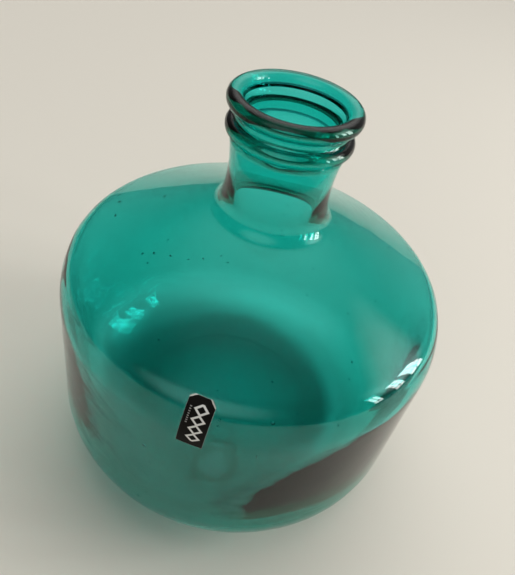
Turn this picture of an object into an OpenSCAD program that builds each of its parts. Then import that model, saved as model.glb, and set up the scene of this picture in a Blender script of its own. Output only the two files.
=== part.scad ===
// Squat blown-glass carboy with a short beaded neck and a small paper label.
// The bottle's axis is Z, its base stands on z = 0, and the label faces -Y. Millimetres.

/* [Body] */
// Largest radius of the bottle, just above the heel
body_r = 140; // [110:1:180]
// Radius of the rounded heel between the base and the wall
heel_r = 54; // [45:1:60]
// Height of the wall between the heel and the shoulder
wall_h = 95; // [60:1:140]
// How far the wall leans inwards towards the top, in degrees
wall_lean = 1.2; // [0.5:0.1:3]

/* [Shoulder] */
// Radius of the long curve at the top of the wall
upper_wall_curve_r = 55; // [45:1:70]
// How far that curve turns before the tighter shoulder corner, in degrees
upper_wall_turn = 22; // [15:1:30]
// Radius of the shoulder corner
corner_r = 19; // [14:1:26]
// Slope of the dome between the shoulder and the neck, in degrees
dome_slope = 26.5; // [22:0.5:30]
// Radius of the hollow curve where the dome meets the neck
root_r = 12; // [9:1:14]

/* [Neck] */
// Outer radius of the neck at its waist
waist_r = 33.4; // [33:0.1:36]
// Height of the waist above the end of the shoulder corner
waist_rise = 70.5; // [65:0.5:78]
// Radius of the long hollow curve that the neck follows
neck_curve_r = 100; // [80:5:140]
// Height of the bead's centre above the waist
bead_rise = 28; // [26:0.5:34]
// Outer radius of the bead under the lip
bead_r = 39.2; // [38.5:0.1:41]
// Radius of the bead's own section
bead_section_r = 5; // [4.5:0.1:5.5]
// Radius of the groove between the bead and the lip
groove_r = 34.6; // [34:0.1:35.5]
// Height of the lip's centre above the bead's centre
lip_rise = 16; // [14:0.5:20]
// Radius of the lip's round section
lip_section_r = 5; // [4.5:0.1:5.4]
// Radius of the plain bore inside the neck
bore_r = 28; // [26:0.1:28.5]
// How far the lip's inner edge stands back from the bore
mouth_step = 2.5; // [2:0.1:4]

/* [Glass thickness] */
// Thickness of the dome, the shoulder and the top of the wall
wall_t = 4.5; // [3.5:0.1:6]
// Lean of the wall's inside, in degrees; below wall_lean, it thickens the wall downwards
inner_lean = 0; // [-3:0.1:1]
// Thickness of the glass over the resting ring
base_t = 8; // [7:0.5:12]
// Radius of the heel's inner curve
inner_heel_r = 40; // [34:1:44]
// Radius of the rounded inner edge of the resting ring
ring_edge_r = 6; // [4:0.5:8]
// Width of the flat ring that the bottle stands on
ring_w = 4; // [3:0.5:8]
// Slope of the pushed-up underside where it leaves the resting ring, in degrees
punt_slope = 12; // [8:1:15]
// Slope of the inner floor where it meets the heel's inner curve, in degrees
floor_slope = 6; // [5:1:10]

/* [Label] */
// Width of the label
label_w = 16; // [10:0.5:30]
// Height of the label
label_h = 32.4; // [20:0.1:40]
// Height of the label's centre
label_z = 162.7; // [158:0.1:166]
// Where the label sits around the bottle from the front, in degrees
label_turn = -6.2; // [-180:0.1:180]
// How far the label leans to the side, in degrees
label_tilt = 4.1; // [-10:0.1:10]
// Thickness of the label's paper
paper_t = 0.2; // [0.1:0.05:0.4]
// Thickness of the adhesive under it
glue_t = 0.1; // [0.05:0.05:0.2]
// Margin by which the adhesive stops short of the paper's edge
glue_margin = 0.3; // [0.2:0.1:1]

/* [Hidden] */
$fn = 180;

arc_step = 5;         // degrees between the points of an arc
same_point = 0.001;   // points closer than this are one point
label_reach = 200;    // depth of the cut that gives the label its outline
label_arc = 20;       // degrees of the bottle that the label is cut from
left_tear = [2.8, 1.4];   // width and height torn off the label's upper left corner
right_tear = [3.4, 2.0];  // width and height torn off its upper right corner

// A point at a distance and an angle from a centre, in the plane of radius and height
function polar(centre, r, a) = centre + r * [cos(a), sin(a)];

// Points along an arc, both ends included
function arc(centre, r, from, to) =
    let (steps = max(1, ceil(abs(to - from) / arc_step)))
    [for (i = [0:steps]) polar(centre, r, from + (to - from) * i / steps)];

function reversed(points) = [for (i = [len(points) - 1:-1:0]) points[i]];

// The same points, with no point given twice in a row
function tidy(points) =
    [for (i = [0:len(points) - 1])
        if (i == 0 || norm(points[i] - points[max(0, i - 1)]) > same_point) points[i]];

// Centres of the outer curves, each one tangent to the next
heel_c = [body_r - heel_r, heel_r];
wall_top = polar(heel_c, heel_r, wall_lean) + wall_h * [-sin(wall_lean), cos(wall_lean)];
upper_wall_c = polar(wall_top, -upper_wall_curve_r, wall_lean);
corner_c = polar(upper_wall_c, upper_wall_curve_r - corner_r, upper_wall_turn);
dome_normal = 90 - dome_slope;
dome_foot = polar(corner_c, corner_r, dome_normal);
waist_z = dome_foot[1] + waist_rise;
neck_c = [waist_r + neck_curve_r, waist_z];

// The root curve touches the dome and the neck from outside: its centre lies root_r above
// the dome's line, and neck_curve_r - root_r from the centre of the neck's curve.
root_start = polar(dome_foot, root_r, dome_normal);
dome_run = [-cos(dome_slope), sin(dome_slope)];
to_neck = root_start - neck_c;
along = to_neck * dome_run;
reach = neck_curve_r - root_r;
root_c = root_start + dome_run * (sqrt(along * along - to_neck * to_neck + reach * reach) - along);
root_turn = 180 + atan((neck_c[1] - root_c[1]) / (neck_c[0] - root_c[0]));

bead_c = [bead_r - bead_section_r, waist_z + bead_rise];
lip_c = [bore_r + mouth_step + lip_section_r, bead_c[1] + lip_rise];
bead_start = -67;
bead_end = acos((groove_r - bead_c[0]) / bead_section_r);
lip_start = -acos((groove_r - lip_c[0]) / lip_section_r);
neck_top = polar(bead_c, bead_section_r, bead_start)[1];
neck_top_turn = 180 - asin((neck_top - waist_z) / neck_curve_r);

// Centres of the inner curves
inner_top = polar(upper_wall_c, upper_wall_curve_r - wall_t, inner_lean);
inner_drop = (inner_top[1] - base_t - inner_heel_r * (1 + sin(inner_lean))) / cos(inner_lean);
inner_foot = inner_top - inner_drop * [-sin(inner_lean), cos(inner_lean)];
inner_heel_c = polar(inner_foot, -inner_heel_r, inner_lean);
floor_edge = polar(inner_heel_c, inner_heel_r, -90 - floor_slope);
floor_r = floor_edge[0] / sin(floor_slope);
floor_c = [0, floor_edge[1] - floor_r * cos(floor_slope)];
ring_c = [heel_c[0] - ring_w, ring_edge_r];
punt_edge = polar(ring_c, ring_edge_r, -90 - punt_slope);
punt_r = punt_edge[0] / sin(punt_slope);
punt_c = [0, punt_edge[1] - punt_r * cos(punt_slope)];

// The outer curve from the foot of the wall to the end of the shoulder corner, moved out by t
function wall_line(t) = concat(
    [polar(heel_c, heel_r + t, wall_lean)],
    arc(upper_wall_c, upper_wall_curve_r + t, wall_lean, upper_wall_turn),
    arc(corner_c, corner_r + t, upper_wall_turn, dome_normal));

function outside() = concat(
    arc(heel_c, heel_r, -90, wall_lean),
    wall_line(0),
    arc(root_c, root_r, 180 + dome_normal, root_turn),
    arc(neck_c, neck_curve_r, root_turn, neck_top_turn),
    arc(bead_c, bead_section_r, bead_start, bead_end),
    arc(lip_c, lip_section_r, lip_start, 180));

// From the mouth down to the middle of the floor
function inside() = concat(
    [[bore_r, lip_c[1] - lip_section_r], [bore_r, root_c[1]]],
    arc(root_c, root_c[0] - bore_r, 180, 180 + dome_normal),
    arc(corner_c, corner_r - wall_t, dome_normal, upper_wall_turn),
    arc(upper_wall_c, upper_wall_curve_r - wall_t, upper_wall_turn, inner_lean),
    arc(inner_heel_c, inner_heel_r, inner_lean, -90 - floor_slope),
    [for (a = [floor_slope:-1:0]) polar(floor_c, floor_r, 90 - a)]);

// From the middle of the underside out to the resting ring
function underside() = concat(
    [for (a = [0:1:punt_slope]) polar(punt_c, punt_r, 90 - a)],
    arc(ring_c, ring_edge_r, -90 - punt_slope, -90));

module glass_vessel() {
    color([0.0, 0.50, 0.45, 0.55])
        rotate_extrude()
            polygon(tidy(concat(underside(), outside(), inside())));
}

// The label's outline, upright, with its two torn upper corners
module label_outline(margin) {
    w = label_w / 2 - margin;
    h = label_h / 2 - margin;
    polygon([
        [-w, -h], [w, -h],
        [w, h - right_tear[1]], [w - right_tear[0], h],
        [-w + left_tear[0], h], [-w, h - left_tear[1]]
    ]);
}

// A thin skin that follows the glass from t0 to t1 above it, cut to the label's outline
module label_skin(t0, t1, margin) {
    rotate([0, 0, label_turn])
        intersection() {
            rotate([0, 0, -90 - label_arc / 2])
                rotate_extrude(angle = label_arc)
                    polygon(tidy(concat(wall_line(t1), reversed(wall_line(t0)))));
            rotate([90, 0, 0])
                linear_extrude(height = label_reach)
                    translate([0, label_z])
                        rotate(-label_tilt)
                            label_outline(margin);
        }
}

module label_adhesive() {
    color("silver") label_skin(0, glue_t, glue_margin);
}

module paper_label() {
    color([0.06, 0.05, 0.05]) label_skin(glue_t, glue_t + paper_t, 0);
}

glass_vessel();
label_adhesive();
paper_label();
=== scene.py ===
"""A squat teal carboy of blown glass with its small paper label, built around the packed model.

Every size is in metres. The bottle's axis is Z, it stands on z = 0 and its label faces -Y.
"""

import math

import bmesh
import bpy
from bpy.props import (
    FloatProperty,
    FloatVectorProperty,
    IntProperty,
    PointerProperty,
)
from mathutils import Matrix, Vector


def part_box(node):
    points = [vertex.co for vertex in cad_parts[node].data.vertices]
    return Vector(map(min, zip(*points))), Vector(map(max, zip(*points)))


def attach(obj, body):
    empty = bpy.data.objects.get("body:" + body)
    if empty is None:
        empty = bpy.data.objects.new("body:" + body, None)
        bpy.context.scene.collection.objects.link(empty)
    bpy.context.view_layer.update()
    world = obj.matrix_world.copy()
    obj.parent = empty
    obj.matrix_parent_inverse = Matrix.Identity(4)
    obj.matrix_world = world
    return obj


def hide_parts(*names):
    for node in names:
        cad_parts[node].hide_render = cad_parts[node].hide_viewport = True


bl_info = {
    "name": "Glass Carboy",
    "version": (1, 0, 0),
    "blender": (4, 5, 0),
    "location": "3D View > Sidebar > Carboy",
    "description": "Builds a blown-glass carboy with its paper label, on a plain stage",
    "category": "Object",
}

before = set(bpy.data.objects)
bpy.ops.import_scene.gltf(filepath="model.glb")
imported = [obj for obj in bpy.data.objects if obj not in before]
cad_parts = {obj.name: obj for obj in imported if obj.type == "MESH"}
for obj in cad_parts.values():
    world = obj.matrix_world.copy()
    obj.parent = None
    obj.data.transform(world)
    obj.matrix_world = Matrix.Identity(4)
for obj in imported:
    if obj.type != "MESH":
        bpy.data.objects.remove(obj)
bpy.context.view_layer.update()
VESSEL_LOW, VESSEL_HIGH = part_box("glass_vessel")

MM = 0.001
BODY = "root"
INSIDE_BOX = 0.9994     # how much of the CAD box the smooth glass fills
SKIN_GAP = 0.01 * MM    # air between two skins that lie on each other
GLASS_BOUNCES = 24      # a path through both walls, the base and back meets many surfaces


# ---------------------------------------------------------------- the user's sizes and colours


def length(name, description, default):
    return FloatProperty(
        name=name, description=description, default=default, unit="LENGTH", precision=4
    )


def angle(name, description, degrees):
    return FloatProperty(
        name=name, description=description, default=math.radians(degrees), subtype="ANGLE"
    )


def colour(name, description, default):
    return FloatVectorProperty(
        name=name, description=description, default=default, subtype="COLOR",
        size=3, min=0.0, max=1.0,
    )


def number(name, description, default):
    return FloatProperty(name=name, description=description, default=default)


def whole(name, description, default):
    return IntProperty(name=name, description=description, default=default, min=0)


class CarboyShape(bpy.types.PropertyGroup):
    """The bottle's own outline."""

    body_radius: length("Body", "Largest radius, just above the heel", 0.140)
    heel_radius: length("Heel", "Radius of the heel between base and wall", 0.054)
    wall_height: length("Wall", "Height of the wall", 0.095)
    wall_lean: angle("Wall lean", "How far the wall leans inwards", 1.2)
    upper_wall_curve: length("Upper wall curve", "Radius of the top of the wall", 0.055)
    upper_wall_turn: angle("Upper wall turn", "How far that curve turns", 22)
    corner_radius: length("Shoulder corner", "Radius of the shoulder corner", 0.019)
    dome_slope: angle("Dome slope", "Slope between shoulder and neck", 26.5)
    root_radius: length("Neck root", "Radius of the hollow at the neck's foot", 0.012)
    waist_radius: length("Neck waist", "Outer radius of the neck's waist", 0.0334)
    waist_rise: length("Waist height", "Waist above the shoulder corner", 0.0705)
    neck_curve: length("Neck curve", "Radius of the neck's long hollow curve", 0.100)
    bead_rise: length("Bead height", "Bead above the waist", 0.028)
    bead_radius: length("Bead", "Outer radius of the bead", 0.0392)
    bead_section: length("Bead section", "Radius of the bead's own section", 0.005)
    groove_radius: length("Groove", "Radius between bead and lip", 0.0346)
    lip_rise: length("Lip height", "Lip above the bead", 0.016)
    lip_section: length("Lip section", "Radius of the lip's round section", 0.005)
    bore_radius: length("Bore", "Radius of the plain bore in the neck", 0.028)
    mouth_step: length("Mouth step", "How far the lip stands back from the bore", 0.0025)


class CarboyWall(bpy.types.PropertyGroup):
    """The thickness of the glass and the marks of blowing in it."""

    thickness: length("Wall thickness", "Glass in the dome and the top of the wall", 0.0045)
    inner_lean: angle("Inner lean", "How far the inside of the wall leans inwards", 0.0)
    base_thickness: length("Base thickness", "Glass over the resting ring", 0.008)
    inner_heel: length("Inner heel", "Radius of the heel's inner curve", 0.040)
    ring_edge: length("Ring edge", "Radius of the resting ring's inner edge", 0.006)
    ring_width: length("Ring width", "Width of the resting ring", 0.004)
    punt_slope: angle("Punt slope", "Slope of the underside at the ring", 12)
    floor_slope: angle("Floor slope", "Slope of the inner floor at the heel", 6)
    sag: length("Uneven wall", "Extra glass low in the wall on its thickest side", 0.0050)
    sag_side: angle("Thick side", "Where the wall is thickest, from the front", 66)
    segments: whole("Segments", "Faces around the bottle", 224)
    ripple_height: length("Ripple height", "Depth of the waves of blowing", 0.0006)
    ripple_size: number("Ripple size", "Waves per metre", 14.0)
    bubble_density: number("Bubbles", "Bubbles per square metre of glass", 300.0)
    bubble_radius: length("Bubble radius", "Radius of the largest bubbles", 0.0010)
    bubble_seed: whole("Bubble seed", "Which pattern of bubbles", 7)


class CarboyGlass(bpy.types.PropertyGroup):
    """The finish of the glass."""

    tint: colour("Tint", "What a short path through the glass lets by", (0.02, 0.88, 0.855))
    depth: number("Depth of tint", "How fast the tint deepens, per metre", 360.0)
    ior: number("Refraction", "Index of refraction", 1.5)
    roughness: number("Roughness", "Roughness of the fire-polished surface", 0.0)
    haze: number("Haze", "Extra roughness where the surface is dusty", 0.012)
    waviness: length("Waviness", "Height of the fine waves in the surface", 0.0002)


class CarboyLabel(bpy.types.PropertyGroup):
    """The paper label and its adhesive."""

    width: length("Width", "Width of the label", 0.016)
    height: length("Height", "Length of the label along the glass", 0.0352)
    centre_height: length("Place", "Height of the label's centre", 0.164)
    turn: angle("Turn", "Place around the bottle from the front", -6.2)
    tilt: angle("Tilt", "How far the label leans", 4.1)
    paper: length("Paper", "Thickness of the paper", 0.0002)
    glue: length("Adhesive", "Thickness of the adhesive", 0.0001)
    glue_margin: length("Adhesive margin", "Bare edge round the adhesive", 0.0003)
    curl: length("Curl", "How far a torn corner lifts", 0.0005)
    ink: colour("Ink", "The label's black print", (0.008, 0.007, 0.006))
    stock: colour("Paper colour", "The paper where it is bare", (0.78, 0.78, 0.74))
    mark: colour("Mark", "The printed ornament", (0.86, 0.86, 0.84))


class CarboyStage(bpy.types.PropertyGroup):
    """The floor, the lights and the camera."""

    camera_distance: length("Camera distance", "From the bottle's axis, along -Y", 0.2921)
    camera_height: length("Camera height", "Above the floor", 0.4199)
    camera_pitch: angle("Camera pitch", "How far the camera looks down", 42.83)
    camera_yaw: angle("Camera yaw", "How far the camera looks to the right", 0.50)
    camera_roll: angle("Camera roll", "How far the view is turned", 13.44)
    lens: number("Lens", "Focal length in millimetres on a 36 mm frame", 33.1)
    floor: colour("Floor", "Colour of the floor", (0.80, 0.765, 0.69))
    sky: colour("Room light", "Colour of the light from all around", (1.0, 0.99, 0.97))
    sky_strength: number("Room light strength", "Strength of that light", 0.335)
    dim: number("Dim side", "Light from the darkest side of the room", 0.15)
    wall_glow: number("Wall light", "Extra light from the pale wall behind", 0.34)
    high_glow: number("High light", "Extra light from high behind the bottle", 4.0)
    front_glow: number("Front light", "Extra light from above the viewer", 2.5)
    window_glow: number("Window glow", "Extra light from around the windows", 7.0)
    window_strength: number("Window power", "Power of the window light, in watts", 8.5)
    window_distance: length("Window distance", "From the bottle", 2.2)


# ---------------------------------------------------------------- the bottle's outline


def polar(centre, radius, turn):
    return centre + radius * Vector((math.cos(turn), math.sin(turn)))


def arc(centre, radius, start, end, step=math.radians(3)):
    count = max(1, math.ceil(abs(end - start) / step))
    return [polar(centre, radius, start + (end - start) * i / count) for i in range(count + 1)]


class Outline:
    """The curves that the bottle is turned from, as points of radius and height."""

    def __init__(self, s, w):
        self.s, self.w = s, w
        right = math.pi / 2
        lean, turn = s.wall_lean, s.upper_wall_turn
        self.heel = Vector((s.body_radius - s.heel_radius, s.heel_radius))
        self.wall_foot = polar(self.heel, s.heel_radius, lean)
        wall_top = self.wall_foot + s.wall_height * Vector((-math.sin(lean), math.cos(lean)))
        self.upper = polar(wall_top, -s.upper_wall_curve, lean)
        self.corner = polar(self.upper, s.upper_wall_curve - s.corner_radius, turn)
        self.dome_normal = right - s.dome_slope
        dome_foot = polar(self.corner, s.corner_radius, self.dome_normal)
        waist_z = dome_foot.y + s.waist_rise
        self.neck = Vector((s.waist_radius + s.neck_curve, waist_z))

        # The root's centre lies its own radius above the dome's line and inside the neck's curve.
        start = polar(dome_foot, s.root_radius, self.dome_normal)
        run = Vector((-math.cos(s.dome_slope), math.sin(s.dome_slope)))
        to_neck = start - self.neck
        along = to_neck.dot(run)
        reach = s.neck_curve - s.root_radius
        self.root = start + run * (math.sqrt(along**2 - to_neck.length_squared + reach**2) - along)
        out = self.neck - self.root
        self.root_turn = math.pi + math.atan2(out.y, out.x)

        self.bead = Vector((s.bead_radius - s.bead_section, waist_z + s.bead_rise))
        self.lip = Vector((s.bore_radius + s.mouth_step + s.lip_section, self.bead.y + s.lip_rise))
        self.bead_start = math.radians(-67)
        self.bead_end = math.acos((s.groove_radius - self.bead.x) / s.bead_section)
        self.lip_start = -math.acos((s.groove_radius - self.lip.x) / s.lip_section)
        neck_top = polar(self.bead, s.bead_section, self.bead_start).y
        self.neck_end = math.pi - math.asin((neck_top - waist_z) / s.neck_curve)

    def wall_line(self):
        """From the foot of the wall to the end of the shoulder corner."""
        s = self.s
        return [
            self.wall_foot,
            *arc(self.upper, s.upper_wall_curve, s.wall_lean, s.upper_wall_turn),
            *arc(self.corner, s.corner_radius, s.upper_wall_turn, self.dome_normal),
        ]

    def outside(self):
        s = self.s
        return [
            *arc(self.heel, s.heel_radius, -math.pi / 2, s.wall_lean),
            *self.wall_line(),
            *arc(self.root, s.root_radius, math.pi + self.dome_normal, self.root_turn),
            *arc(self.neck, s.neck_curve, self.root_turn, self.neck_end),
            *arc(self.bead, s.bead_section, self.bead_start, self.bead_end, math.radians(8)),
            *arc(self.lip, s.lip_section, self.lip_start, math.pi, math.radians(8)),
        ]

    def inside(self):
        """From the mouth down to the middle of the floor."""
        s, w = self.s, self.w
        lean = w.inner_lean
        inner_top = polar(self.upper, s.upper_wall_curve - w.thickness, lean)
        heel_z = w.base_thickness + w.inner_heel
        drop = (inner_top.y - heel_z - w.inner_heel * math.sin(lean)) / math.cos(lean)
        inner_foot = inner_top - drop * Vector((-math.sin(lean), math.cos(lean)))
        inner_heel = polar(inner_foot, -w.inner_heel, lean)
        edge = polar(inner_heel, w.inner_heel, -math.pi / 2 - w.floor_slope)
        floor_radius = edge.x / math.sin(w.floor_slope)
        floor = Vector((0, edge.y - floor_radius * math.cos(w.floor_slope)))
        bore = s.bore_radius
        return [
            Vector((bore, self.lip.y - s.lip_section)),
            Vector((bore, self.root.y)),
            *arc(self.root, self.root.x - bore, math.pi, math.pi + self.dome_normal),
            *arc(self.corner, s.corner_radius - w.thickness, self.dome_normal, s.upper_wall_turn),
            *arc(self.upper, s.upper_wall_curve - w.thickness, s.upper_wall_turn, lean),
            *arc(inner_heel, w.inner_heel, lean, -math.pi / 2 - w.floor_slope),
            *arc(floor, floor_radius, math.pi / 2 - w.floor_slope, math.pi / 2, math.radians(1)),
        ]

    def underside(self):
        """From the middle of the underside out to the resting ring."""
        w = self.w
        ring = Vector((self.heel.x - w.ring_width, w.ring_edge))
        edge = polar(ring, w.ring_edge, -math.pi / 2 - w.punt_slope)
        punt_radius = edge.x / math.sin(w.punt_slope)
        punt = Vector((0, edge.y - punt_radius * math.cos(w.punt_slope)))
        return [
            *arc(punt, punt_radius, math.pi / 2, math.pi / 2 - w.punt_slope, math.radians(1)),
            *arc(ring, w.ring_edge, -math.pi / 2 - w.punt_slope, -math.pi / 2),
        ]

    def fit(self):
        """The factor that keeps the smooth glass inside the CAD model's box."""
        height = self.lip.y + self.s.lip_section
        half_width = (VESSEL_HIGH.x - VESSEL_LOW.x) / 2
        return INSIDE_BOX * min(VESSEL_HIGH.z / height, half_width / self.s.body_radius)

    def section(self, spacing=4 * MM):
        """The whole section from the punt's middle to the floor's, evenly divided."""
        corners = [*self.underside(), *self.outside(), *self.inside()]
        points = corners[:1]
        for point in corners[1:]:
            gap = (point - points[-1]).length
            if gap < SKIN_GAP:
                continue
            steps = max(1, round(gap / spacing))
            last = points[-1]
            points += [last.lerp(point, i / steps) for i in range(1, steps + 1)]
        return [p * self.fit() for p in points]


# ---------------------------------------------------------------- node helpers


def add_node(tree, kind, inputs=None, **settings):
    """A node with its settings made, its inputs linked from sockets or set to values."""
    node = tree.nodes.new(kind)
    for key, value in settings.items():
        setattr(node, key, value)
    for key, value in (inputs or {}).items():
        socket = node.inputs[key]
        if isinstance(value, bpy.types.NodeSocket):
            tree.links.new(value, socket)
        else:
            socket.default_value = value
    return node


def calculate(tree, operation, *values):
    """A Math node's result."""
    node = add_node(tree, "ShaderNodeMath", dict(enumerate(values)), operation=operation)
    return node.outputs[0]


def step_between(tree, value, off, on):
    """0 up to off and 1 from on onwards, with a smooth step between them."""
    inputs = {"Value": value, "From Min": off, "From Max": on}
    node = add_node(tree, "ShaderNodeMapRange", inputs, interpolation_type="SMOOTHSTEP")
    return node.outputs[0]


def within(tree, value, on, off):
    """1 up to on and 0 from off onwards, with a smooth step between them."""
    return calculate(tree, "SUBTRACT", 1.0, step_between(tree, value, on, off))


def distance_from(tree, value, middle):
    return calculate(tree, "ABSOLUTE", calculate(tree, "SUBTRACT", value, middle))


def blend_colours(tree, factor, first, second):
    """The first colour where the factor is 0 and the second where it is 1."""
    inputs = {"Factor": factor, "A": first, "B": second}
    node = add_node(tree, "ShaderNodeMix", inputs, data_type="RGBA")
    return node.outputs["Result"]


def new_material(name):
    material = bpy.data.materials.new(name)
    material.use_nodes = True
    material.node_tree.nodes.clear()
    return material, material.node_tree


def finish_material(tree, shader, volume=None):
    output = add_node(tree, "ShaderNodeOutputMaterial", {"Surface": shader})
    if volume:
        tree.links.new(volume, output.inputs["Volume"])


# ---------------------------------------------------------------- materials


def glass_material(g):
    """Clear glass whose tint deepens with the path through it, wavy and faintly dusty."""
    material, tree = new_material("teal_glass")
    place = add_node(tree, "ShaderNodeTexCoord").outputs["Object"]
    dust = add_node(
        tree, "ShaderNodeTexNoise", {"Vector": place, "Scale": 26.0, "Detail": 5.0}
    ).outputs[0]
    film = step_between(tree, dust, 0.55, 0.75)
    roughness = calculate(tree, "MULTIPLY_ADD", film, g.haze, g.roughness)

    # Cords: streaks of blowing that run round the bottle, and broader soft waves
    along = add_node(
        tree, "ShaderNodeVectorMath", {0: place, 1: (1.0, 1.0, 2.2)}, operation="MULTIPLY"
    ).outputs[0]
    cords = add_node(
        tree, "ShaderNodeTexNoise",
        {"Vector": along, "Scale": 18.0, "Detail": 2.0, "Distortion": 0.8},
    ).outputs[0]
    waves = add_node(
        tree, "ShaderNodeTexNoise", {"Vector": place, "Scale": 34.0, "Detail": 1.0}
    ).outputs[0]
    relief = calculate(tree, "MULTIPLY_ADD", cords, 0.45, waves)
    inputs = {"Height": relief, "Strength": 1.0, "Distance": g.waviness}
    bump = add_node(tree, "ShaderNodeBump", inputs).outputs[0]
    inputs = {
        "Base Color": (1.0, 1.0, 1.0, 1.0),
        "Roughness": roughness,
        "IOR": g.ior,
        "Transmission Weight": 1.0,
        "Normal": bump,
    }
    shader = add_node(tree, "ShaderNodeBsdfPrincipled", inputs).outputs[0]
    inputs = {"Color": (*g.tint, 1.0), "Density": g.depth}
    volume = add_node(tree, "ShaderNodeVolumeAbsorption", inputs).outputs[0]
    finish_material(tree, shader, volume)
    return material


def bare_paper_material(look):
    """Uncoated paper: the torn edges and the back of the label."""
    material, tree = new_material("bare_paper")
    place = add_node(tree, "ShaderNodeTexCoord").outputs["Object"]
    fibres = add_node(
        tree, "ShaderNodeTexNoise", {"Vector": place, "Scale": 2600.0, "Detail": 4.0}
    ).outputs[0]
    bump = add_node(
        tree, "ShaderNodeBump", {"Height": fibres, "Strength": 0.6, "Distance": 0.05 * MM}
    ).outputs[0]
    shade = [0.82 * c for c in look.stock]
    tone = blend_colours(tree, fibres, (*look.stock, 1.0), (*shade, 1.0))
    inputs = {"Base Color": tone, "Roughness": 0.85, "Normal": bump}
    finish_material(tree, add_node(tree, "ShaderNodeBsdfPrincipled", inputs).outputs[0])
    return material


# Corners where the black coat is gone: the side, and the size across and down in millimetres
COAT_TEARS = ((-1, 4.6, 3.2), (1, 4.7, 4.6))


def printed_label_material(look):
    """Black coated paper with a chain of lozenges and a row of ticks, torn at two corners."""
    material, tree = new_material("printed_label")
    uv = add_node(tree, "ShaderNodeUVMap", uv_map="label").outputs[0]
    axes = add_node(tree, "ShaderNodeSeparateXYZ", {0: uv}).outputs
    x = calculate(tree, "MULTIPLY", calculate(tree, "SUBTRACT", axes[0], 0.5), look.width / MM)
    y = calculate(tree, "MULTIPLY", calculate(tree, "SUBTRACT", axes[1], 0.5), look.height / MM)

    # A chain of lozenge outlines along the label, a little right of its middle, in millimetres
    pitch, rise, half_width, stroke = 6.8, 3.7, 4.3, 0.28
    beat = calculate(tree, "PINGPONG", calculate(tree, "ADD", y, 40 * pitch), pitch / 2)
    beat = calculate(tree, "DIVIDE", calculate(tree, "SUBTRACT", pitch / 2, beat), rise)
    aside = calculate(tree, "DIVIDE", distance_from(tree, x, 1.1), half_width)
    off_line = distance_from(tree, calculate(tree, "ADD", beat, aside), 0.84)
    lozenges = within(tree, off_line, stroke * 0.7, stroke)
    along = within(tree, distance_from(tree, y, 0.0), 13.5, 13.7)
    lozenges = calculate(tree, "MULTIPLY", lozenges, along)

    # A short row of fainter ticks beside the upper end
    half_pitch, tick_x, tick_y, strength = 0.75, -5.2, 5.5, 0.45
    tick = calculate(tree, "PINGPONG", calculate(tree, "ADD", y, 80 * half_pitch), half_pitch)
    tick = within(tree, tick, 0.30, 0.42)
    band = within(tree, distance_from(tree, x, tick_x), 0.50, 0.65)
    span = within(tree, distance_from(tree, y, tick_y), 6.0, 6.1)
    ticks = calculate(tree, "MULTIPLY", calculate(tree, "MULTIPLY", tick, band), span)
    ticks = calculate(tree, "MULTIPLY", ticks, strength)
    mark = calculate(tree, "MAXIMUM", lozenges, ticks)

    # Where the black coat is gone: a cut edge all round and two ragged corners
    place = add_node(tree, "ShaderNodeTexCoord").outputs["Object"]
    ragged = add_node(
        tree, "ShaderNodeTexNoise", {"Vector": place, "Scale": 900.0, "Detail": 3.0}
    ).outputs[0]
    ragged = calculate(tree, "MULTIPLY", calculate(tree, "SUBTRACT", ragged, 0.5), 0.192)
    half_w, half_h = look.width / MM / 2, look.height / MM / 2
    from_side = calculate(tree, "SUBTRACT", half_w, calculate(tree, "ABSOLUTE", x))
    from_end = calculate(tree, "SUBTRACT", half_h, calculate(tree, "ABSOLUTE", y))
    from_edge = calculate(tree, "MINIMUM", from_side, from_end)
    torn = calculate(tree, "MULTIPLY", within(tree, from_edge, 0.06, 0.20), 0.7)
    for side, across, down in COAT_TEARS:
        # 1 at the corner, 0 on the line where the coat stops
        sideways = calculate(tree, "MULTIPLY_ADD", x, side / across, 1 - half_w / across)
        upwards = calculate(tree, "MULTIPLY_ADD", y, 1 / down, 1 - half_h / down)
        beyond = calculate(tree, "SUBTRACT", calculate(tree, "ADD", sideways, upwards), 1.0)
        beyond = calculate(tree, "ADD", ragged, beyond)
        torn = calculate(tree, "MAXIMUM", torn, step_between(tree, beyond, 0.0, 0.05))

    printed = blend_colours(tree, mark, (*look.ink, 1.0), (*look.mark, 1.0))
    face = blend_colours(tree, torn, printed, (*look.stock, 1.0))
    grain = add_node(
        tree, "ShaderNodeTexNoise", {"Vector": place, "Scale": 3000.0, "Detail": 2.0}
    ).outputs[0]
    relief = calculate(tree, "MULTIPLY", torn, grain)
    bump = add_node(
        tree, "ShaderNodeBump", {"Height": relief, "Strength": 0.5, "Distance": 0.05 * MM}
    ).outputs[0]
    roughness = calculate(tree, "MULTIPLY_ADD", torn, 0.4, 0.45)
    inputs = {
        "Base Color": face, "Roughness": roughness, "Specular IOR Level": 0.15, "Normal": bump
    }
    finish_material(tree, add_node(tree, "ShaderNodeBsdfPrincipled", inputs).outputs[0])
    return material


def adhesive_material():
    """A dried film of label adhesive, pale and a little cloudy."""
    material, tree = new_material("dried_adhesive")
    place = add_node(tree, "ShaderNodeTexCoord").outputs["Object"]
    cloud = add_node(
        tree, "ShaderNodeTexNoise", {"Vector": place, "Scale": 420.0, "Detail": 3.0}
    ).outputs[0]
    tone = blend_colours(tree, cloud, (0.62, 0.61, 0.55, 1.0), (0.74, 0.73, 0.68, 1.0))
    roughness = calculate(tree, "MULTIPLY_ADD", cloud, 0.3, 0.35)
    inputs = {"Base Color": tone, "Roughness": roughness, "IOR": 1.47}
    finish_material(tree, add_node(tree, "ShaderNodeBsdfPrincipled", inputs).outputs[0])
    return material


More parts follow.
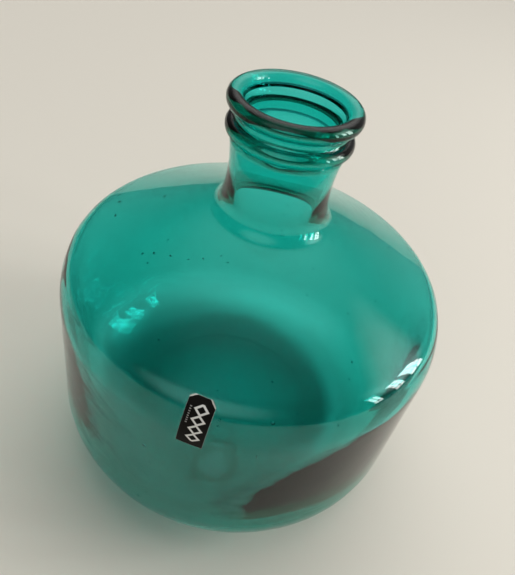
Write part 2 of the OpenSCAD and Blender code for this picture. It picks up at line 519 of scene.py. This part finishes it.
def floor_material(tone):
    material, tree = new_material("pale_floor")
    inputs = {"Base Color": (*tone, 1.0), "Roughness": 0.8, "Specular IOR Level": 0.15}
    finish_material(tree, add_node(tree, "ShaderNodeBsdfPrincipled", inputs).outputs[0])
    return material


# ---------------------------------------------------------------- the turned glass


def profile_curve(points):
    """The section as one open spline, drawn from the axis at x = 0."""
    curve = bpy.data.curves.new("bottle_section", "CURVE")
    curve.dimensions = "3D"
    spline = curve.splines.new("POLY")
    spline.points.add(len(points) - 1)
    for control, point in zip(spline.points, points):
        control.co = (point.x, point.y, 0.0, 1.0)
    section = bpy.data.objects.new("bottle_section", curve)
    bpy.context.scene.collection.objects.link(section)
    return section


def turning_tree(material):
    """Turns a section into a bottle, ripples its surfaces and sets bubbles in the glass."""
    tree = bpy.data.node_groups.new("turned_glass", "GeometryNodeTree")
    ports = tree.interface
    ports.new_socket("Geometry", in_out="OUTPUT", socket_type="NodeSocketGeometry")
    for name, kind in (
        ("Section", "NodeSocketObject"),
        ("Segments", "NodeSocketInt"),
        ("Uneven Wall", "NodeSocketFloat"),
        ("Thick Side", "NodeSocketVector"),
        ("Ripple Height", "NodeSocketFloat"),
        ("Ripple Size", "NodeSocketFloat"),
        ("Bubble Density", "NodeSocketFloat"),
        ("Bubble Radius", "NodeSocketFloat"),
        ("Bubble Seed", "NodeSocketInt"),
    ):
        ports.new_socket(name, in_out="INPUT", socket_type=kind)
    given = add_node(tree, "NodeGroupInput").outputs

    # Turn the section round the axis
    section = add_node(tree, "GeometryNodeObjectInfo", {"Object": given["Section"]})
    around = add_node(
        tree, "GeometryNodeCurvePrimitiveCircle",
        {"Resolution": given["Segments"], "Radius": 1.0},
    )
    upright = add_node(
        tree, "GeometryNodeSetCurveNormal", {"Curve": around.outputs["Curve"]}, mode="Z_UP"
    )
    moved = add_node(
        tree, "GeometryNodeTransform",
        {"Geometry": section.outputs["Geometry"], "Translation": (-1.0, 0.0, 0.0),
         "Scale": (1.0, -1.0, 1.0)},
    )
    turned = add_node(
        tree, "GeometryNodeCurveToMesh",
        {"Curve": upright.outputs["Curve"], "Profile Curve": moved.outputs["Geometry"]},
    )
    outward = add_node(tree, "GeometryNodeFlipFaces", {"Mesh": turned.outputs[0]}).outputs[0]
    closed = add_node(
        tree, "GeometryNodeMergeByDistance", {"Geometry": outward, "Distance": 0.02 * MM}
    ).outputs[0]

    # Ripple it, less in the neck and not at all where it stands. The waves are read a little
    # off the surface, so the inside and the outside of the wall get different ones.
    place = add_node(tree, "GeometryNodeInputPosition").outputs[0]
    normal = add_node(tree, "GeometryNodeInputNormal").outputs["Normal"]
    apart = add_node(
        tree, "ShaderNodeVectorMath", {0: normal, 1: (0.06, 0.06, 0.06), 2: place},
        operation="MULTIPLY_ADD",
    ).outputs[0]
    waves = add_node(
        tree, "ShaderNodeTexNoise",
        {"Vector": apart, "Scale": given["Ripple Size"], "Detail": 1.5, "Roughness": 0.4},
    ).outputs[0]
    height = add_node(tree, "ShaderNodeSeparateXYZ", {0: place}).outputs["Z"]
    above_base = step_between(tree, height, 0.004, 0.030)
    in_neck = step_between(tree, height, 0.205, 0.240)
    calm = calculate(tree, "MULTIPLY_ADD", in_neck, -0.75, 1.0)
    depth = calculate(tree, "MULTIPLY", calculate(tree, "MULTIPLY", above_base, calm), waves)
    sinking = calculate(tree, "MULTIPLY", given["Ripple Height"], -1.0)
    depth = calculate(tree, "MULTIPLY", depth, sinking)

    # The hot glass sagged to one side, so low in the wall its inside stands further in there,
    # up to a higher level, and a little further out on the other side
    outwards = add_node(
        tree, "ShaderNodeVectorMath", {0: place, 1: (1.0, 1.0, 0.0)}, operation="MULTIPLY"
    ).outputs[0]
    outwards = add_node(
        tree, "ShaderNodeVectorMath", {0: outwards}, operation="NORMALIZE"
    ).outputs[0]
    facing_in = add_node(
        tree, "ShaderNodeVectorMath", {0: normal, 1: outwards}, operation="DOT_PRODUCT"
    ).outputs["Value"]
    facing_in = step_between(tree, facing_in, -0.15, -0.95)
    on_side = add_node(
        tree, "ShaderNodeVectorMath", {0: outwards, 1: given["Thick Side"]},
        operation="DOT_PRODUCT",
    ).outputs["Value"]
    on_side = step_between(tree, on_side, 0.10, 0.90)
    sag_height = calculate(tree, "MULTIPLY_ADD", on_side, -0.065, height)
    low_down = step_between(tree, sag_height, 0.085, 0.0)
    share = calculate(tree, "MULTIPLY_ADD", on_side, 1.25, -0.25)
    sag = calculate(tree, "MULTIPLY", calculate(tree, "MULTIPLY", facing_in, share), low_down)
    sag = calculate(tree, "MULTIPLY", sag, given["Uneven Wall"])
    depth = calculate(tree, "ADD", depth, sag)
    shift = add_node(
        tree, "ShaderNodeVectorMath", {0: normal, "Scale": depth}, operation="SCALE"
    ).outputs[0]
    rippled = add_node(
        tree, "GeometryNodeSetPosition", {"Geometry": closed, "Offset": shift}
    ).outputs[0]

    # Bubbles: small hollows inside the wall, so their faces look into the hollow
    seeds = add_node(
        tree, "GeometryNodeDistributePointsOnFaces",
        {"Mesh": rippled, "Density": given["Bubble Density"], "Seed": given["Bubble Seed"]},
    )
    below_surface = add_node(
        tree, "FunctionNodeRandomValue", {"Min": -3.2 * MM, "Max": -1.4 * MM, "Seed": 3}
    ).outputs["Value"]
    inwards = add_node(
        tree, "ShaderNodeVectorMath",
        {0: seeds.outputs["Normal"], "Scale": below_surface}, operation="SCALE",
    ).outputs[0]
    sunk = add_node(
        tree, "GeometryNodeSetPosition",
        {"Geometry": seeds.outputs["Points"], "Offset": inwards},
    ).outputs[0]
    ball = add_node(tree, "GeometryNodeMeshIcoSphere", {"Radius": 1.0, "Subdivisions": 2})
    dice = add_node(
        tree, "FunctionNodeRandomValue", {"Min": 0.40, "Max": 1.0, "Seed": 11}
    ).outputs["Value"]
    dice = calculate(tree, "POWER", dice, 2.0)
    size = calculate(tree, "MULTIPLY", dice, given["Bubble Radius"])
    long_side = calculate(tree, "MULTIPLY", size, 1.5)
    oval = add_node(tree, "ShaderNodeCombineXYZ", {0: long_side, 1: size, 2: size})
    bubbles = add_node(
        tree, "GeometryNodeInstanceOnPoints",
        {"Points": sunk, "Instance": ball.outputs["Mesh"], "Rotation": seeds.outputs["Rotation"],
         "Scale": oval.outputs[0]},
    ).outputs[0]
    bubbles = add_node(tree, "GeometryNodeRealizeInstances", {"Geometry": bubbles}).outputs[0]
    hollows = add_node(tree, "GeometryNodeFlipFaces", {"Mesh": bubbles}).outputs[0]

    joined = add_node(tree, "GeometryNodeJoinGeometry")
    tree.links.new(rippled, joined.inputs[0])
    tree.links.new(hollows, joined.inputs[0])
    smooth = add_node(
        tree, "GeometryNodeSetShadeSmooth", {"Geometry": joined.outputs[0]}
    ).outputs[0]
    real = add_node(tree, "GeometryNodeRealizeInstances", {"Geometry": smooth}).outputs[0]
    dressed = add_node(
        tree, "GeometryNodeSetMaterial", {"Geometry": real, "Material": material}
    ).outputs[0]
    add_node(tree, "NodeGroupOutput", {"Geometry": dressed})
    return tree


def socket_ids(tree):
    return {
        item.name: item.identifier
        for item in tree.interface.items_tree
        if item.item_type == "SOCKET" and item.in_out == "INPUT"
    }


def run_tree(name, tree, values):
    """The plain mesh object that a Geometry Nodes tree makes."""
    host = bpy.data.objects.new(name + "_host", bpy.data.meshes.new(name + "_host"))
    bpy.context.scene.collection.objects.link(host)
    modifier = host.modifiers.new("build", "NODES")
    modifier.node_group = tree
    ids = socket_ids(tree)
    for key, value in values.items():
        modifier[ids[key]] = value
    view = bpy.context.evaluated_depsgraph_get()
    mesh = bpy.data.meshes.new_from_object(host.evaluated_get(view))
    host.modifiers.clear()
    bpy.data.objects.remove(host)
    for i in reversed(range(len(mesh.materials))):
        if mesh.materials[i] is None:  # the icosphere's empty slot
            mesh.materials.pop(index=i)
    mesh.name = name
    piece = bpy.data.objects.new(name, mesh)
    bpy.context.scene.collection.objects.link(piece)
    return piece


class CARBOY_OT_glass_vessel(bpy.types.Operator):
    """Build the blown glass bottle, with its ripples and bubbles"""

    bl_idname = "carboy.glass_vessel"
    bl_label = "Glass Vessel"

    def execute(self, context):
        scene = context.scene
        outline = Outline(scene.carboy_shape, scene.carboy_wall)
        section = profile_curve(outline.section())
        material = glass_material(scene.carboy_glass)
        wall = scene.carboy_wall
        piece = run_tree(
            "blown_glass_vessel",
            turning_tree(material),
            {
                "Section": section,
                "Segments": wall.segments,
                "Uneven Wall": wall.sag,
                "Thick Side": (math.sin(wall.sag_side), -math.cos(wall.sag_side), 0.0),
                "Ripple Height": wall.ripple_height,
                "Ripple Size": wall.ripple_size,
                "Bubble Density": wall.bubble_density,
                "Bubble Radius": wall.bubble_radius,
                "Bubble Seed": wall.bubble_seed,
            },
        )
        bpy.data.objects.remove(section)
        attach(piece, BODY)
        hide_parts("glass_vessel")
        return {"FINISHED"}


# ---------------------------------------------------------------- the label


class LabelGround:
    """The stretch of glass under the label, as places along and around it."""

    def __init__(self, outline, look):
        self.look = look
        fit = outline.fit()
        line = [p * fit for p in outline.wall_line()]
        self.points = line[:1]
        for point in line[1:]:
            if (point - self.points[-1]).length > SKIN_GAP:
                self.points.append(point)
        self.runs = [0.0]
        for a, b in zip(self.points, self.points[1:]):
            self.runs.append(self.runs[-1] + (b - a).length)
        self.middle = self.run_at(look.centre_height)

    def run_at(self, height):
        for i, (a, b) in enumerate(zip(self.points, self.points[1:])):
            if a.y <= height <= b.y:
                part = (height - a.y) / (b.y - a.y)
                return self.runs[i] + part * (b - a).length
        raise ValueError("the label's centre is off the wall")

    def at(self, run):
        """The point and the outward normal at a distance along the wall line."""
        for i in range(len(self.runs) - 1):
            if run <= self.runs[i + 1] or i == len(self.runs) - 2:
                a, b = self.points[i], self.points[i + 1]
                part = (run - self.runs[i]) / (b - a).length
                tangent = (b - a).normalized()
                return a.lerp(b, part), Vector((tangent.y, -tangent.x))
        raise ValueError("the label runs off the wall")

    def place(self, x, y, lift):
        """Where a point of the flat label lies, lift above the glass."""
        look = self.look
        across = x * math.cos(look.tilt) + y * math.sin(look.tilt)
        along = y * math.cos(look.tilt) - x * math.sin(look.tilt)
        point, normal = self.at(self.middle + along)
        point = point + normal * lift
        turn = look.turn + math.asin(across / point.x)
        return Vector((point.x * math.sin(turn), -point.x * math.cos(turn), point.y))


def corner_cut(x, y, look, side, across, down):
    """How far a point is past the line that a torn corner follows, from 0 to 1."""
    half_w, half_h = look.width / 2, look.height / 2
    return (side * x - half_w) / across + (y - half_h) / down + 1


LEFT_TEAR = (-1, 2.8 * MM, 2.2 * MM)
RIGHT_TEAR = (1, 3.4 * MM, 3.4 * MM)


def keep_on_label(x, y, look):
    """Pulls a point back to the line of a torn corner, with a little raggedness."""
    for side, across, down in (LEFT_TEAR, RIGHT_TEAR):
        ragged = 1 + 0.07 * math.sin(x / MM * 5.1) + 0.05 * math.sin(y / MM * 7.3 + 1)
        past = corner_cut(x, y, look, side, across * ragged, down * ragged)
        if past > 0:
            size = 1 / (across * ragged) ** 2 + 1 / (down * ragged) ** 2
            x -= side * past / (across * ragged) / size
            y -= past / (down * ragged) / size
    return x, y


def skin_piece(name, ground, inset, low, high, lift_at, columns=44, rows=88):
    """A closed thin skin on the glass between two heights, with a UV map on both faces."""
    look = ground.look
    width, height = look.width - 2 * inset, look.height - 2 * inset
    bm = bmesh.new()
    uv = bm.loops.layers.uv.new("label")
    places = {}
    layers = []
    for level in (high, low):
        grid = []
        for j in range(rows + 1):
            line = []
            for i in range(columns + 1):
                x = (i / columns - 0.5) * width
                y = (j / rows - 0.5) * height
                x, y = keep_on_label(x, y, look)
                vertex = bm.verts.new(ground.place(x, y, level + lift_at(x, y)))
                places[vertex] = (x / look.width + 0.5, y / look.height + 0.5)
                line.append(vertex)
            grid.append(line)
        layers.append(grid)
    top, bottom = layers
    for j in range(rows):
        for i in range(columns):
            bm.faces.new((top[j][i], top[j][i + 1], top[j + 1][i + 1], top[j + 1][i]))
            face = bm.faces.new(
                (bottom[j][i], bottom[j + 1][i], bottom[j + 1][i + 1], bottom[j][i + 1])
            )
            face.material_index = 1
    rim = [(0, i) for i in range(columns)]
    rim += [(j, columns) for j in range(rows)]
    rim += [(rows, i) for i in range(columns, 0, -1)]
    rim += [(j, 0) for j in range(rows, 0, -1)]
    for (ja, ia), (jb, ib) in zip(rim, rim[1:] + rim[:1]):
        face = bm.faces.new((top[ja][ia], bottom[ja][ia], bottom[jb][ib], top[jb][ib]))
        face.material_index = 1
    for face in bm.faces:
        face.smooth = True
        for loop in face.loops:
            loop[uv].uv = places[loop.vert]
    bmesh.ops.remove_doubles(bm, verts=bm.verts, dist=1e-6)
    bmesh.ops.dissolve_degenerate(bm, edges=bm.edges, dist=1e-6)
    mesh = bpy.data.meshes.new(name)
    bm.to_mesh(mesh)
    bm.free()
    piece = bpy.data.objects.new(name, mesh)
    bpy.context.scene.collection.objects.link(piece)
    return piece


def corner_lift(look):
    """How far the label stands off the glass near its torn corners."""

    def lift(x, y):
        total = 0.0
        for side, across, down in (LEFT_TEAR, RIGHT_TEAR):
            past = corner_cut(x, y, look, side, across, down) * min(across, down)
            near = max(0.0, 1 + past / (2.2 * MM))
            total = max(total, look.curl * near * near)
        return total

    return lift


def flat(x, y):
    return 0.0


class CARBOY_OT_label_adhesive(bpy.types.Operator):
    """Build the film of adhesive under the label"""

    bl_idname = "carboy.label_adhesive"
    bl_label = "Label Adhesive"

    def execute(self, context):
        scene = context.scene
        look = scene.carboy_label
        ground = LabelGround(Outline(scene.carboy_shape, scene.carboy_wall), look)
        piece = skin_piece(
            "label_adhesive_film", ground, look.glue_margin, SKIN_GAP, look.glue, flat, 22, 44
        )
        material = adhesive_material()
        piece.data.materials.append(material)
        piece.data.materials.append(material)
        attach(piece, BODY)
        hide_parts("label_adhesive")
        return {"FINISHED"}


class CARBOY_OT_paper_label(bpy.types.Operator):
    """Build the printed paper label with its torn corners"""

    bl_idname = "carboy.paper_label"
    bl_label = "Paper Label"

    def execute(self, context):
        scene = context.scene
        look = scene.carboy_label
        ground = LabelGround(Outline(scene.carboy_shape, scene.carboy_wall), look)
        low = look.glue + SKIN_GAP
        piece = skin_piece(
            "printed_paper_label", ground, 0.0, low, low + look.paper - SKIN_GAP, corner_lift(look)
        )
        piece.data.materials.append(printed_label_material(look))
        piece.data.materials.append(bare_paper_material(look))
        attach(piece, BODY)
        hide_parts("paper_label")
        return {"FINISHED"}


# ---------------------------------------------------------------- the stage


def make_floor(stage):
    bm = bmesh.new()
    bmesh.ops.create_grid(bm, x_segments=1, y_segments=1, size=6.0)
    mesh = bpy.data.meshes.new("floor")
    bm.to_mesh(mesh)
    bm.free()
    floor = bpy.data.objects.new("floor", mesh)
    floor.location.z = VESSEL_LOW.z - 0.3 * MM
    floor.data.materials.append(floor_material(stage.floor))
    bpy.context.scene.collection.objects.link(floor)


def pane_light(name, place, target, size, power, tone):
    """One pane of a window: a rectangle of light that faces the bottle."""
    light = bpy.data.lights.new(name, "AREA")
    light.shape = "RECTANGLE"
    light.size, light.size_y = size
    light.energy = power
    light.color = tone
    lamp = bpy.data.objects.new(name, light)
    lamp.location = place
    lamp.rotation_euler = (target - place).to_track_quat("-Z", "Y").to_euler()
    bpy.context.scene.collection.objects.link(lamp)


def make_lights(stage):
    """Three windows to the right, each of two by three panes."""
    target = Vector((0.0, 0.0, 0.15))
    # Each window's direction, its width and height in metres, and its share of the power
    windows = (
        ("far", (0.92, 0.20, 0.27), (0.36, 1.10), 1.0),
        ("middle", (0.95, 0.00, 0.27), (0.25, 0.95), 0.62),
        ("near", (0.93, -0.24, 0.25), (0.21, 0.85), 0.45),
    )
    columns, rows, filled = 2, 3, 0.86  # filled: how much of a window's grid is glass
    for name, direction, (width, height), share in windows:
        toward = Vector(direction).normalized()
        across = toward.cross(Vector((0, 0, 1))).normalized()
        middle = target + toward * stage.window_distance
        pane = (width / columns * filled, height / rows * filled)
        power = stage.window_strength * share / (columns * rows)
        for i in range(columns):
            for j in range(rows):
                place = middle + across * (i + 0.5 - columns / 2) * width / columns
                place.z += (j + 0.5 - rows / 2) * height / rows
                pane_light(f"{name}_{i}_{j}", place, target, pane, power, (1.0, 0.99, 0.98))


def make_room_light(stage):
    """A dim room with a pale wall behind the bottle, brighter towards the windows."""
    world = bpy.data.worlds.new("room")
    world.use_nodes = True
    tree = world.node_tree
    tree.nodes.clear()
    toward = add_node(tree, "ShaderNodeTexCoord").outputs["Object"]

    def glow(direction, edge, core, strength):
        """Light around one direction, given by the cosines at its edge and its bright core."""
        direction = Vector(direction).normalized()
        near = add_node(
            tree, "ShaderNodeVectorMath", {0: toward, 1: direction}, operation="DOT_PRODUCT"
        ).outputs["Value"]
        return calculate(tree, "MULTIPLY", step_between(tree, near, edge, core), strength)

    behind = glow((0.25, 1.0, 0.15), -0.1, 0.9, stage.wall_glow)
    right = glow((0.85, 0.40, 0.35), 0.2, 1.0, stage.wall_glow)
    high = glow((0.0, 0.50, 0.87), 0.65, 1.0, stage.high_glow)
    above_viewer = glow((-0.2, -0.75, 0.62), 0.80, 1.0, stage.front_glow)
    windows = glow((0.88, 0.14, 0.45), 0.935, 1.0, stage.window_glow)
    light = calculate(tree, "ADD", behind, stage.dim)
    for part in (right, high, above_viewer, windows):
        light = calculate(tree, "ADD", light, part)
    light = calculate(tree, "MULTIPLY", light, stage.sky_strength)
    inputs = {"Color": (*stage.sky, 1.0), "Strength": light}
    background = add_node(tree, "ShaderNodeBackground", inputs).outputs[0]
    add_node(tree, "ShaderNodeOutputWorld", {"Surface": background})
    bpy.context.scene.world = world


def make_camera(stage):
    """A camera in front of and above the bottle, turned about its own line of sight."""
    pitch, yaw, roll = stage.camera_pitch, stage.camera_yaw, stage.camera_roll
    ahead = Vector((
        math.sin(yaw) * math.cos(pitch), math.cos(yaw) * math.cos(pitch), -math.sin(pitch)
    ))
    level = Vector((math.cos(yaw), -math.sin(yaw), 0.0))
    upright = level.cross(ahead)
    right = level * math.cos(roll) + upright * math.sin(roll)
    up = upright * math.cos(roll) - level * math.sin(roll)
    data = bpy.data.cameras.new("camera")
    data.sensor_width = 36.0
    data.lens = stage.lens
    data.clip_start = 0.01
    camera = bpy.data.objects.new("camera", data)
    camera.matrix_world = Matrix.Translation(
        (0.0, -stage.camera_distance, stage.camera_height)
    ) @ Matrix((right, up, -ahead)).transposed().to_4x4()
    bpy.context.scene.collection.objects.link(camera)
    bpy.context.scene.camera = camera


class CARBOY_OT_stage(bpy.types.Operator):
    """Lay the floor, hang the lights and place the camera"""

    bl_idname = "carboy.stage"
    bl_label = "Stage"

    def execute(self, context):
        stage = context.scene.carboy_stage
        make_floor(stage)
        make_lights(stage)
        make_room_light(stage)
        make_camera(stage)
        view, cycles = context.scene.view_settings, context.scene.cycles
        view.view_transform = "Standard"
        view.look = "Medium High Contrast"
        cycles.max_bounces = cycles.transmission_bounces = GLASS_BOUNCES
        cycles.glossy_bounces = 8
        return {"FINISHED"}


# ---------------------------------------------------------------- the add-on


class CARBOY_PT_sidebar(bpy.types.Panel):
    """The carboy's pieces, sizes and colours"""

    bl_label = "Glass Carboy"
    bl_idname = "CARBOY_PT_sidebar"
    bl_space_type = "VIEW_3D"
    bl_region_type = "UI"
    bl_category = "Carboy"

    def draw(self, context):
        layout = self.layout
        for operator in OPERATORS:
            layout.operator(operator.bl_idname)
        for name in GROUPS:
            box = layout.box()
            group = getattr(context.scene, name)
            box.label(text=type(group).__doc__)
            for key in type(group).__annotations__:
                box.prop(group, key)


GROUPS = {
    "carboy_shape": CarboyShape,
    "carboy_wall": CarboyWall,
    "carboy_glass": CarboyGlass,
    "carboy_label": CarboyLabel,
    "carboy_stage": CarboyStage,
}
OPERATORS = (
    CARBOY_OT_stage,
    CARBOY_OT_glass_vessel,
    CARBOY_OT_label_adhesive,
    CARBOY_OT_paper_label,
)


def register():
    for kind in (*GROUPS.values(), *OPERATORS, CARBOY_PT_sidebar):
        bpy.utils.register_class(kind)
    for name, kind in GROUPS.items():
        setattr(bpy.types.Scene, name, PointerProperty(type=kind))


def unregister():
    for name in GROUPS:
        delattr(bpy.types.Scene, name)
    for kind in reversed((*GROUPS.values(), *OPERATORS, CARBOY_PT_sidebar)):
        bpy.utils.unregister_class(kind)


def main():
    register()
    bpy.ops.carboy.stage()
    bpy.ops.carboy.glass_vessel()
    bpy.ops.carboy.label_adhesive()
    bpy.ops.carboy.paper_label()


if __name__ == "__main__":
    main()
